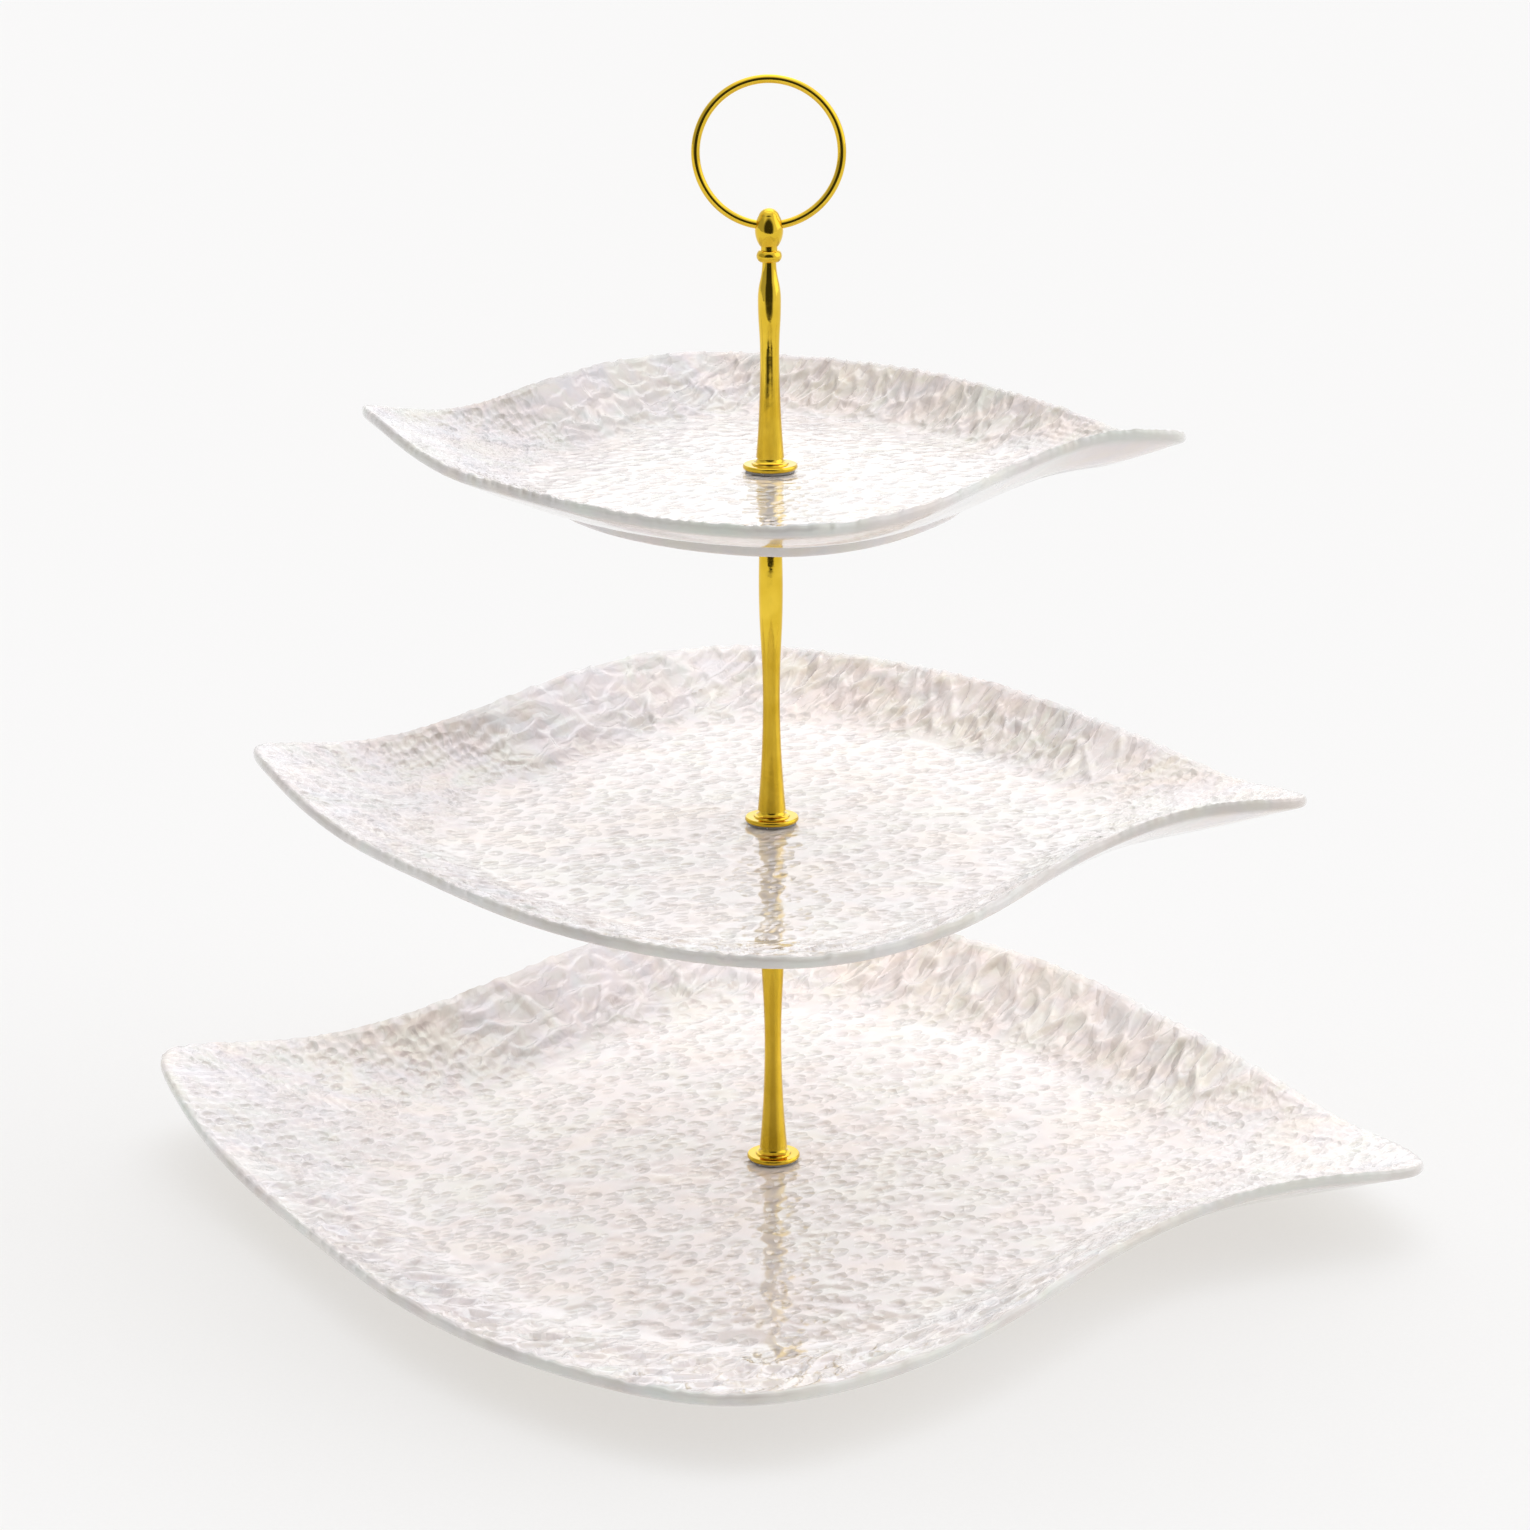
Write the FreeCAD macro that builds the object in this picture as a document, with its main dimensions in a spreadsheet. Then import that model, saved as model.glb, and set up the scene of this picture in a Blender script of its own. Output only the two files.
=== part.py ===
"""Three-tier cake stand: three square wavy-rimmed porcelain plates, held one above the other on a
turned, gold-plated brass pole that screws together, with a ring handle on top.

Frame: millimetres, +Z up, origin on the pole's axis at table level (the bottom plate's foot).
The plates' raised corners point to +X and -X, each plate turned a little about the pole.
"""
import FreeCAD, Part
import Sketcher
import math
import os

from FreeCAD import Placement, Rotation, Vector

os.makedirs("parts", exist_ok=True)
doc = FreeCAD.newDocument("cake_stand")


# ---------------------------------------------------------------- driving dimensions
DIMENSIONS = {
    # tiers
    "tier_spacing": 103.0,
    "foot_height": 4.4,
    "foot_width": 4.5,
    "plate_thickness": 3.2,
    "lip_bulge": 0.8,
    "plate_hole_radius": 3.25,
    "middle_scale": 0.804,
    "top_scale": 0.612,
    "middle_rise": 0.912,
    "top_rise": 0.87,
    "bottom_turn": -13.0,
    "middle_turn": -8.0,
    "top_turn": -6.0,
    # washers and discs
    "clear_thickness": 0.7,
    "clear_radius": 7.0,
    "steel_thickness": 0.8,
    "washer_bore": 2.3,
    "disc_radius": 7.75,
    "disc_edge": 1.4,
    "disc_step_radius": 5.3,
    "disc_height": 3.3,
    "disc_neck_radius": 3.6,
    "disc_step_draft": 0.2,
    "disc_step_rise": 0.4,
    # screw and studs
    "thread_radius": 2.0,
    "socket_radius": 2.05,
    "socket_depth": 9.0,
    "stud_engagement": 8.0,
    "stud_seat_depth": 12.0,
    "screw_head_radius": 5.5,
    "screw_head_height": 1.8,
    "slot_width": 1.2,
    "slot_depth": 0.9,
    "slot_overrun": 1.0,
    "thread_chamfer": 0.4,
    # lower and upper rods
    "rod_base_radius": 4.05,
    "rod_waist_radius": 2.45,
    "rod_waist_height": 33.0,
    "rod_bulge_radius": 3.45,
    "rod_bulge_height": 66.0,
    "rod_neck_radius": 2.8,
    "bead_radius": 3.55,
    "bead_seat_radius": 3.1,
    "bead_height": 3.2,
    "collar_seat_radius": 2.7,
    # handle rod, collar, knob and ring
    "handle_base_radius": 3.95,
    "handle_waist_radius": 2.7,
    "handle_waist_height": 29.0,
    "handle_bulge_radius": 3.25,
    "handle_bulge_height": 44.5,
    "handle_neck_radius": 1.95,
    "handle_length": 55.2,
    "pin_thread_radius": 1.3,
    "pin_socket_radius": 1.35,
    "pin_engagement": 4.0,
    "pin_end_gap": 0.3,
    "knob_neck_radius": 2.3,
    "knob_neck_height": 1.2,
    "knob_foot_radius": 2.6,
    "knob_radius": 3.95,
    "knob_widest_height": 5.6,
    "knob_shoulder_radius": 2.9,
    "knob_shoulder_height": 9.6,
    "knob_height": 11.7,
    "knob_hole_radius": 1.48,
    "knob_hole_height": 7.0,
    "ring_radius": 20.2,
    "wire_radius": 1.2,
    "ring_drop": 0.15,
}

sheet = doc.addObject("Spreadsheet::Sheet", "dims")
for row, (alias, number) in enumerate(DIMENSIONS.items(), start=1):
    sheet.set(f"A{row}", alias)
    sheet.set(f"B{row}", str(number))
    sheet.setAlias(f"B{row}", alias)
doc.recompute()


def cell(alias):
    """The number that the sheet holds under an alias."""
    return float(sheet.get(alias))


def value(expression):
    """The number that an expression in the sheet's aliases gives."""
    return float(sheet.evalExpression(expression))


# Heights above a plate's foot, as expressions in the sheet's aliases.
WELL = "(dims.foot_height + dims.plate_thickness)"
DISC_SEAT = f"({WELL} + dims.clear_thickness)"
ROD_SEAT = f"({DISC_SEAT} + dims.disc_height)"
ROD_LENGTH = f"(dims.tier_spacing - {ROD_SEAT} + dims.foot_height - dims.clear_thickness)"
TIERS = {"bottom": "0", "middle": "dims.tier_spacing", "top": "(2 * dims.tier_spacing)"}

HANDLE_SEAT = f"({TIERS['top']} + {ROD_SEAT})"
COLLAR_SEAT = f"({HANDLE_SEAT} + dims.handle_length)"
KNOB_SEAT = f"({COLLAR_SEAT} + dims.bead_height)"
RING_PIVOT = f"({KNOB_SEAT} + dims.knob_hole_height)"


# ---------------------------------------------------------------- plates
# The plan of the plate, the same on opposite sides: (angle from the raised corner, the well's
# radius, the lip's radius, rise of the lip above the well on the +X half, rise on the -X half),
# for the bottom plate, in degrees and mm. The raised corners are at 0 and 180 degrees, the low
# rounded ones at 100 and 280.
RIM = [
    (0, 100.0, 188.0, 15.0, 19.8),
    (7, 102.0, 180.0, 11.5, 19.3),
    (14, 105.0, 170.0, 9.0, 16.0),
    (27, 110.0, 156.0, 11.0, 11.0),
    (45, 114.0, 151.0, 13.0, 10.5),
    (68, 123.0, 165.0, 14.0, 11.0),
    (88, 134.0, 187.0, 14.0, 11.5),
    (100, 138.0, 198.0, 14.5, 12.5),
    (113, 132.0, 181.5, 17.0, 12.5),
    (133, 115.0, 150.0, 19.0, 14.5),
    (153, 105.0, 140.0, 18.0, 16.0),
    (168, 101.0, 164.0, 14.2, 20.0),
]
SLOPE_SHARE = 0.55      # the rim's middle ring: its place between the well and the lip
SLOPE_RISE = 0.42       # and its height there, as a share of the lip's
FOOT_SHARE = 0.92       # the foot ring's outside, as a share of the well's outline


def rim_stations():
    """All the rim's stations round the plate: (angle in radians, well radius, lip radius, rise)."""
    near = [(math.radians(angle), well, lip, rise) for angle, well, lip, rise, _ in RIM]
    far = [(math.radians(angle + 180), well, lip, rise) for angle, well, lip, _, rise in RIM]
    return near + far


def closed_wire(points):
    """A smooth closed curve through the points."""
    curve = Part.BSplineCurve()
    curve.interpolate(Points=points, PeriodicFlag=True)
    return Part.Wire(curve.toShape())


def ring_wire(radii, heights):
    """A closed curve at a radius and a height for each of the rim's stations."""
    points = []
    for (angle, _, _, _), radius, height in zip(rim_stations(), radii, heights):
        points.append(Vector(radius * math.cos(angle), radius * math.sin(angle), height))
    return closed_wire(points)


def skin(wires):
    """The faces of a smooth surface through closed curves."""
    return Part.makeLoft(wires, False, False).Faces


def plate_shape(scale, rise):
    """A plate on z = 0: flat well, sloping wavy rim with a rounded lip, foot ring, centre hole."""
    thickness = cell("plate_thickness")
    under = cell("foot_height")
    well = under + thickness
    bulge = cell("lip_bulge")

    flat = [radius * scale for _, radius, _, _ in rim_stations()]
    lip = [radius * scale for _, _, radius, _ in rim_stations()]
    lip_rise = [height * rise for _, _, _, height in rim_stations()]
    slope = [inner + SLOPE_SHARE * (outer - inner) for inner, outer in zip(flat, lip)]
    count = len(lip)

    well_edge = ring_wire(flat, [well] * count)
    upper_slope = ring_wire(slope, [well + SLOPE_RISE * height for height in lip_rise])
    upper_lip = ring_wire(lip, [well + height for height in lip_rise])
    outer_lip = ring_wire([radius + bulge for radius in lip],
                          [well + height - thickness / 2 for height in lip_rise])
    lower_lip = ring_wire(lip, [under + height for height in lip_rise])
    lower_slope = ring_wire(slope, [under + SLOPE_RISE * height for height in lip_rise])
    under_edge = ring_wire(flat, [under] * count)

    faces = [Part.Face(well_edge), Part.Face(under_edge)]
    faces += skin([well_edge, upper_slope, upper_lip])
    faces += skin([upper_lip, outer_lip, lower_lip])
    faces += skin([lower_lip, lower_slope, under_edge])
    shell = Part.Shell(faces)
    shell.sewShape()
    dish = Part.Solid(Part.Shell(shell.Faces))
    if dish.Volume < 0:
        dish.reverse()

    foot_out = [radius * FOOT_SHARE for radius in flat]
    foot_in = [radius - cell("foot_width") for radius in foot_out]
    upward = Vector(0, 0, under + thickness / 2)
    outside = Part.Face(ring_wire(foot_out, [0] * count)).extrude(upward)
    inside = Part.Face(ring_wire(foot_in, [0] * count)).extrude(upward)
    hole = Part.makeCylinder(cell("plate_hole_radius"), 2 * well)
    return dish.fuse(outside.cut(inside)).cut(hole).removeSplitter()


def add_plate(tier, scale, rise, turn):
    """A plate in its place on the pole."""
    plate = doc.addObject("Part::Feature", f"{tier}_plate")
    plate.Label = f"{tier}_plate"
    plate.Shape = plate_shape(scale, rise)
    plate.Placement = Placement(Vector(0, 0, value(TIERS[tier])), Rotation(Vector(0, 0, 1), turn))
    return plate


# ---------------------------------------------------------------- turned pieces
def origin_feature(body, role):
    """One of a body's own origin planes or axes."""
    return next(item for item in body.Origin.OriginFeatures if item.Role == role)


def arc_centre(start, end, level):
    """The centre of an arc from start to end, level with one of them or on the axis."""
    if level == "axis":
        numerator = end.x ** 2 + end.y ** 2 - start.x ** 2 - start.y ** 2
        return Vector(0, numerator / (2 * (end.y - start.y)), 0)
    fixed, other = (start, end) if level == "start" else (end, start)
    run = other.x - fixed.x
    drop = other.y - fixed.y
    return Vector(fixed.x + (run ** 2 + drop ** 2) / (2 * run), fixed.y, 0)


def add_edge(sketch, start, end, level):
    """Adds a line, or an arc where level says how its centre lies. Returns the edge's number and
    which of its ends are the start and the end."""
    if level is None:
        return sketch.addGeometry(Part.LineSegment(start, end)), 1, 2
    centre = arc_centre(start, end, level)
    circle = Part.Circle(centre, Vector(0, 0, 1), centre.distanceToPoint(start))
    first = math.atan2(start.y - centre.y, start.x - centre.x)
    last = math.atan2(end.y - centre.y, end.x - centre.x)
    sweep = (last - first) % (2 * math.pi)
    if sweep < math.pi:
        edge = sketch.addGeometry(Part.ArcOfCircle(circle, first, first + sweep))
        return edge, 1, 2
    edge = sketch.addGeometry(Part.ArcOfCircle(circle, last, last + 2 * math.pi - sweep))
    return edge, 2, 1


def hold_point(sketch, edge, end, direction, expression, name):
    """Ties one coordinate of an edge's end to the sheet, or to the axis or base line at zero."""
    if expression == "0":
        line = -2 if direction == "DistanceX" else -1
        sketch.addConstraint(Sketcher.Constraint("PointOnObject", edge, end, line))
        return
    constraint = Sketcher.Constraint(direction, -1, 1, edge, end, value(expression))
    index = sketch.addConstraint(constraint)
    sketch.renameConstraint(index, name)
    sketch.setExpression(f"Constraints.{name}", expression)


def turned(name, seat, profile):
    """A turned piece. profile is its half section, a closed outline of (radius, height, level):
    expressions, and how the edge that ends there lies (None for a straight one, or where an arc's
    centre is: level with the arc's start or end, or on the axis)."""
    body = doc.addObject("PartDesign::Body", name)
    body.Label = name
    sketch = body.newObject("Sketcher::SketchObject", f"{name}_section")
    sketch.AttachmentSupport = [(origin_feature(body, "XZ_Plane"), "")]
    sketch.MapMode = "FlatFace"
    corners = [Vector(value(radius), value(height), 0) for radius, height, _ in profile]
    edges = []
    for index, (_, _, level) in enumerate(profile):
        edge, start, end = add_edge(sketch, corners[index - 1], corners[index], level)
        edges.append((edge, start, end, level))
    for index, (edge, start, end, level) in enumerate(edges):
        before, _, before_end, _ = edges[index - 1]
        sketch.addConstraint(Sketcher.Constraint("Coincident", before, before_end, edge, start))
        radius, height, _ = profile[index]
        hold_point(sketch, edge, end, "DistanceX", radius, f"radius_{index}")
        hold_point(sketch, edge, end, "DistanceY", height, f"height_{index}")
        if level == "axis":
            sketch.addConstraint(Sketcher.Constraint("PointOnObject", edge, 3, -2))
        elif level is not None:
            side = start if level == "start" else end
            sketch.addConstraint(Sketcher.Constraint("Horizontal", edge, 3, edge, side))
    revolution = body.newObject("PartDesign::Revolution", f"{name}_turning")
    revolution.Profile = sketch
    revolution.ReferenceAxis = (sketch, ["V_Axis"])
    revolution.Angle = 360
    body.Tip = revolution
    body.setExpression("Placement.Base.z", seat)
    return body


def washer(name, seat, radius, thickness):
    """A flat ring round the pole."""
    return turned(name, seat, [
        ("dims.washer_bore", "0", None),
        (radius, "0", None),
        (radius, thickness, None),
        ("dims.washer_bore", thickness, None),
    ])


def add_disc(tier):
    """A gold cup washer: rounded edge, a step, and a short neck flaring up to the rod above."""
    round_over = "(dims.disc_radius - dims.disc_edge / 4)"
    return turned(f"{tier}_disc", f"{TIERS[tier]} + {DISC_SEAT}", [
        ("dims.washer_bore", "0", None),
        (round_over, "0", None),
        ("dims.disc_radius", "dims.disc_edge / 2", "end"),
        (round_over, "dims.disc_edge", "start"),
        ("dims.disc_step_radius", "dims.disc_edge", None),
        ("(dims.disc_step_radius - dims.disc_step_draft)", "(dims.disc_edge + dims.disc_step_rise)", None),
        ("dims.disc_neck_radius", "dims.disc_height", "end"),
        ("dims.washer_bore", "dims.disc_height", None),
    ])


def swell(radius_a, height_a, radius_b, height_b):
    """Two arcs from one radius to another, upright at both ends."""
    return [
        (f"({radius_a} + {radius_b}) / 2", f"({height_a} + {height_b}) / 2", "start"),
        (radius_b, height_b, "end"),
    ]


def add_rod(name, tier):
    """A pole rod: flared foot, waist, swell and neck, with a bead that carries the next plate,
    and a blind threaded hole in each end."""
    bead_foot = f"({ROD_LENGTH} - dims.bead_height)"
    profile = [
        ("dims.socket_radius", "0", None),
        ("dims.rod_base_radius", "0", None),
        ("dims.rod_waist_radius", "dims.rod_waist_height", "end"),
    ]
    profile += swell("dims.rod_waist_radius", "dims.rod_waist_height",
                     "dims.rod_bulge_radius", "dims.rod_bulge_height")
    profile += swell("dims.rod_bulge_radius", "dims.rod_bulge_height",
                     "dims.rod_neck_radius", bead_foot)
    profile += [
        ("dims.bead_seat_radius", bead_foot, None),
        ("dims.bead_radius", f"({ROD_LENGTH} - dims.bead_height / 2)", "end"),
        ("dims.bead_seat_radius", ROD_LENGTH, "start"),
        ("dims.socket_radius", ROD_LENGTH, None),
        ("dims.socket_radius", f"({ROD_LENGTH} - dims.stud_seat_depth)", None),
        ("0", f"({ROD_LENGTH} - dims.stud_seat_depth)", None),
        ("0", "dims.socket_depth", None),
        ("dims.socket_radius", "dims.socket_depth", None),
    ]
    return turned(name, f"{TIERS[tier]} + {ROD_SEAT}", profile)


def add_stud(name, tier):
    """A headless stud: seated in the top of the rod that stands on this tier, and reaching through
    the plate above into the next rod."""
    top = f"({ROD_LENGTH} + {ROD_SEAT} - dims.foot_height + dims.clear_thickness + dims.stud_engagement)"
    length = f"({top} - {ROD_LENGTH} + dims.stud_seat_depth)"
    chamfer = "dims.thread_chamfer"
    slim = f"(dims.thread_radius - {chamfer})"
    seat = f"{TIERS[tier]} + {ROD_SEAT} + {ROD_LENGTH} - dims.stud_seat_depth"
    return turned(name, seat, [
        ("0", "0", None),
        (slim, "0", None),
        ("dims.thread_radius", chamfer, None),
        ("dims.thread_radius", f"({length} - {chamfer})", None),
        (slim, length, None),
        ("0", length, None),
    ])


def add_handle_rod():
    """The top rod: as the others but shorter, with a thin pin thread at its top for the knob."""
    pin_top = "(dims.handle_length + dims.bead_height + dims.pin_engagement)"
    profile = [
        ("dims.socket_radius", "0", None),
        ("dims.handle_base_radius", "0", None),
        ("dims.handle_waist_radius", "dims.handle_waist_height", "end"),
    ]
    profile += swell("dims.handle_waist_radius", "dims.handle_waist_height",
                     "dims.handle_bulge_radius", "dims.handle_bulge_height")
    profile += swell("dims.handle_bulge_radius", "dims.handle_bulge_height",
                     "dims.handle_neck_radius", "dims.handle_length")
    profile += [
        ("dims.pin_thread_radius", "dims.handle_length", None),
        ("dims.pin_thread_radius", pin_top, None),
        ("0", pin_top, None),
        ("0", "dims.socket_depth", None),
        ("dims.socket_radius", "dims.socket_depth", None),
    ]
    return turned("handle_rod", HANDLE_SEAT, profile)


def add_collar():
    """The bead between the handle rod and the knob."""
    return turned("collar", COLLAR_SEAT, [
        ("dims.pin_socket_radius", "0", None),
        ("dims.collar_seat_radius", "0", None),
        ("dims.bead_radius", "dims.bead_height / 2", "end"),
        ("dims.collar_seat_radius", "dims.bead_height", "start"),
        ("dims.pin_socket_radius", "dims.bead_height", None),
    ])


def add_knob():
    """The egg-shaped knob, with a short neck, a blind thread below and a cross hole for the ring."""
    blind_depth = "(dims.pin_engagement + dims.pin_end_gap)"
    knob = turned("knob", KNOB_SEAT, [
        ("dims.pin_socket_radius", "0", None),
        ("dims.knob_neck_radius", "0", None),
        ("dims.knob_neck_radius", "dims.knob_neck_height", None),
        ("dims.knob_foot_radius", "dims.knob_neck_height", None),
        ("dims.knob_radius", "dims.knob_widest_height", "end"),
        ("dims.knob_shoulder_radius", "dims.knob_shoulder_height", "start"),
        ("0", "dims.knob_height", "axis"),
        ("0", blind_depth, None),
        ("dims.pin_socket_radius", blind_depth, None),
    ])
    doc.recompute()
    hole = knob.newObject("Sketcher::SketchObject", "ring_hole_section")
    hole.AttachmentSupport = [(origin_feature(knob, "YZ_Plane"), "")]
    hole.MapMode = "FlatFace"
    centre = Vector(0, cell("knob_hole_height"), 0)
    hole.addGeometry(Part.Circle(centre, Vector(0, 0, 1), cell("knob_hole_radius")))
    hole.addConstraint(Sketcher.Constraint("PointOnObject", 0, 3, -2))
    height = hole.addConstraint(Sketcher.Constraint("DistanceY", -1, 1, 0, 3, centre.y))
    radius = hole.addConstraint(Sketcher.Constraint("Radius", 0, cell("knob_hole_radius")))
    hole.setExpression(f"Constraints[{height}]", "dims.knob_hole_height")
    hole.setExpression(f"Constraints[{radius}]", "dims.knob_hole_radius")
    pocket = knob.newObject("PartDesign::Pocket", "ring_hole")
    pocket.Profile = hole
    pocket.Type = "ThroughAll"
    pocket.Midplane = True
    knob.Tip = pocket
    return knob


def add_base_screw():
    """The slotted screw that clamps the bottom plate to the lower rod from below."""
    head_foot = ("(dims.foot_height - dims.clear_thickness - dims.steel_thickness"
                 " - dims.screw_head_height)")
    tip = f"({ROD_SEAT} - {head_foot} + dims.stud_engagement)"
    edge = "dims.thread_chamfer"
    screw = turned("base_screw", head_foot, [
        ("0", "0", None),
        (f"(dims.screw_head_radius - {edge})", "0", None),
        ("dims.screw_head_radius", edge, None),
        ("dims.screw_head_radius", "dims.screw_head_height", None),
        ("dims.thread_radius", "dims.screw_head_height", None),
        ("dims.thread_radius", f"({tip} - {edge})", None),
        (f"(dims.thread_radius - {edge})", tip, None),
        ("0", tip, None),
    ])
    doc.recompute()
    slot = screw.newObject("Sketcher::SketchObject", "slot_section")
    slot.AttachmentSupport = [(origin_feature(screw, "XY_Plane"), "")]
    slot.MapMode = "FlatFace"
    half_length = cell("screw_head_radius") + cell("slot_overrun")
    half_width = cell("slot_width") / 2
    corners = [Vector(x * half_length, y * half_width, 0)
               for x, y in ((-1, -1), (1, -1), (1, 1), (-1, 1))]
    for index in range(4):
        slot.addGeometry(Part.LineSegment(corners[index - 1], corners[index]))
    for index in range(4):
        before = (index - 1) % 4
        slot.addConstraint(Sketcher.Constraint("Coincident", before, 2, index, 1))
    for side in (0, 2):
        slot.addConstraint(Sketcher.Constraint("Vertical", side))
        slot.addConstraint(Sketcher.Constraint("Horizontal", side + 1))
    slot.addConstraint(Sketcher.Constraint("Symmetric", 0, 1, 1, 2, -1, 1))
    width = slot.addConstraint(Sketcher.Constraint("Distance", 2, 2 * half_width))
    length = slot.addConstraint(Sketcher.Constraint("Distance", 1, 2 * half_length))
    slot.setExpression(f"Constraints[{width}]", "dims.slot_width")
    slot.setExpression(f"Constraints[{length}]", "2 * (dims.screw_head_radius + dims.slot_overrun)")
    pocket = screw.newObject("PartDesign::Pocket", "slot")
    pocket.Profile = slot
    pocket.Reversed = True
    pocket.setExpression("Length", "dims.slot_depth")
    screw.Tip = pocket
    return screw


def add_ring():
    """The ring handle, standing in the XZ plane with its lowest point in the knob's cross hole."""
    ring = doc.addObject("Part::Torus", "ring_handle")
    ring.Label = "ring_handle"
    ring.setExpression("Radius1", "dims.ring_radius")
    ring.setExpression("Radius2", "dims.wire_radius")
    ring.Placement = Placement(Vector(0, 0, 0), Rotation(Vector(1, 0, 0), 90))
    ring.setExpression("Placement.Base.z", f"{RING_PIVOT} + dims.ring_radius - dims.ring_drop")
    return ring


# ---------------------------------------------------------------- the whole stand
pieces = [
    add_plate("bottom", 1.0, 1.0, cell("bottom_turn")),
    add_plate("middle", cell("middle_scale"), cell("middle_rise"), cell("middle_turn")),
    add_plate("top", cell("top_scale"), cell("top_rise"), cell("top_turn")),
    add_rod("lower_rod", "bottom"),
    add_rod("upper_rod", "middle"),
    add_stud("lower_stud", "bottom"),
    add_stud("upper_stud", "middle"),
    add_handle_rod(),
    add_collar(),
    add_knob(),
    add_ring(),
    add_base_screw(),
    washer("base_washer", "(dims.foot_height - dims.clear_thickness - dims.steel_thickness)",
           "dims.clear_radius", "dims.steel_thickness"),
]
for tier_name, tier_height in TIERS.items():
    pieces.append(add_disc(tier_name))
    pieces.append(washer(f"{tier_name}_upper_washer", f"{tier_height} + {WELL}",
                         "dims.clear_radius", "dims.clear_thickness"))
    pieces.append(washer(f"{tier_name}_lower_washer",
                         f"{tier_height} + dims.foot_height - dims.clear_thickness",
                         "dims.clear_radius", "dims.clear_thickness"))
doc.recompute()

for item in doc.Objects:
    if "Invalid" in item.State or "Error" in item.State:
        raise RuntimeError(f"{item.Name} did not compute: {item.State}")
for piece in pieces:
    shape = piece.Shape
    if shape.isNull() or not shape.isValid() or len(shape.Solids) != 1:
        raise RuntimeError(f"{piece.Label} is not one valid solid")
for piece in pieces:
    piece.Shape.exportStep(f"parts/{piece.Label}.step")
    box = piece.Shape.BoundBox
    print(f"{piece.Label}: {piece.Shape.Volume:.0f} mm3, z {box.ZMin:.2f} to {box.ZMax:.2f}")
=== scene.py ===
import math

import bpy
import numpy as np
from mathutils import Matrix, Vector
from mathutils.bvhtree import BVHTree


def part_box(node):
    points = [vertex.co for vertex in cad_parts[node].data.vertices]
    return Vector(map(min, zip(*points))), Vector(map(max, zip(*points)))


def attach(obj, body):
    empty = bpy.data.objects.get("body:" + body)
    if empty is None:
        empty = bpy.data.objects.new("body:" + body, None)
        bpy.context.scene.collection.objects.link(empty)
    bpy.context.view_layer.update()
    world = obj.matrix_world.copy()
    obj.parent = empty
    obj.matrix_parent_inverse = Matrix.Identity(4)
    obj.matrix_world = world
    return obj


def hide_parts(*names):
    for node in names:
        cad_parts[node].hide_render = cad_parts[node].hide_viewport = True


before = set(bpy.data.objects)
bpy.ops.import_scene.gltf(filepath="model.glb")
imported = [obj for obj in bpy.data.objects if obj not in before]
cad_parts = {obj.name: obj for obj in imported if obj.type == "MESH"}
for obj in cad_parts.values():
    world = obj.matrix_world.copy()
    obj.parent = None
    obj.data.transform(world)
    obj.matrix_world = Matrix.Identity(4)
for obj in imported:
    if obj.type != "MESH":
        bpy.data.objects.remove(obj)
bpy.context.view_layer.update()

# ---------------------------------------------------------------- camera
# A long lens a little above the top plate, looking down on the wells of all three.
camera_data = bpy.data.cameras.new("camera")
camera_data.lens = 101.4
camera_data.sensor_width = 36.0
camera_data.clip_start = 0.05
camera_data.clip_end = 60.0
camera = bpy.data.objects.new("camera", camera_data)
camera.location = (-0.0019, -1.190, 0.4576)
camera.rotation_mode = "ZYX"
camera.rotation_euler = (math.radians(90 - 15.49), 0, math.radians(-0.3))
bpy.context.scene.collection.objects.link(camera)
bpy.context.scene.camera = camera


# ---------------------------------------------------------------- base screw and washer
# A slotted zinc-plated steel screw comes up through the bottom plate from below, over a flat steel
# washer. Both are turned and barrel-plated, so they are bright but a little cloudy.
def new_finish(name):
    """A new material with one Principled shader, and short ways to add and join its nodes."""
    finish = bpy.data.materials.new(name)
    finish.use_nodes = True
    nodes, links = finish.node_tree.nodes, finish.node_tree.links
    skin = nodes["Principled BSDF"]

    def add(kind, **settings):
        node = nodes.new(kind)
        for key, setting in settings.items():
            setattr(node, key, setting)
        return node

    def join(source, target):
        links.new(source, target)

    return finish, skin, add, join


def noise(add, join, place, scale, detail=2.0, roughness=0.5, distortion=0.0):
    """A noise texture at a number of cycles per metre, read at a place."""
    node = add("ShaderNodeTexNoise")
    node.inputs["Scale"].default_value = scale
    node.inputs["Detail"].default_value = detail
    node.inputs["Roughness"].default_value = roughness
    node.inputs["Distortion"].default_value = distortion
    join(place, node.inputs["Vector"])
    return node


def ramp(add, join, source, *stops, smooth=False):
    """A colour ramp: (position, colour) stops."""
    node = add("ShaderNodeValToRGB")
    if smooth:
        node.color_ramp.interpolation = "B_SPLINE"
    band = node.color_ramp.elements
    while len(band) < len(stops):
        band.new(0.5)
    for element, (position, colour) in zip(band, stops):
        element.position = position
        element.color = (*colour, 1)
    join(source, node.inputs["Fac"])
    return node


def span(add, join, source, low, high, start, end):
    """Maps a texture's range low to high on to start to end."""
    node = add("ShaderNodeMapRange")
    node.inputs["From Min"].default_value = low
    node.inputs["From Max"].default_value = high
    node.inputs["To Min"].default_value = start
    node.inputs["To Max"].default_value = end
    join(source, node.inputs["Value"])
    return node


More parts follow.
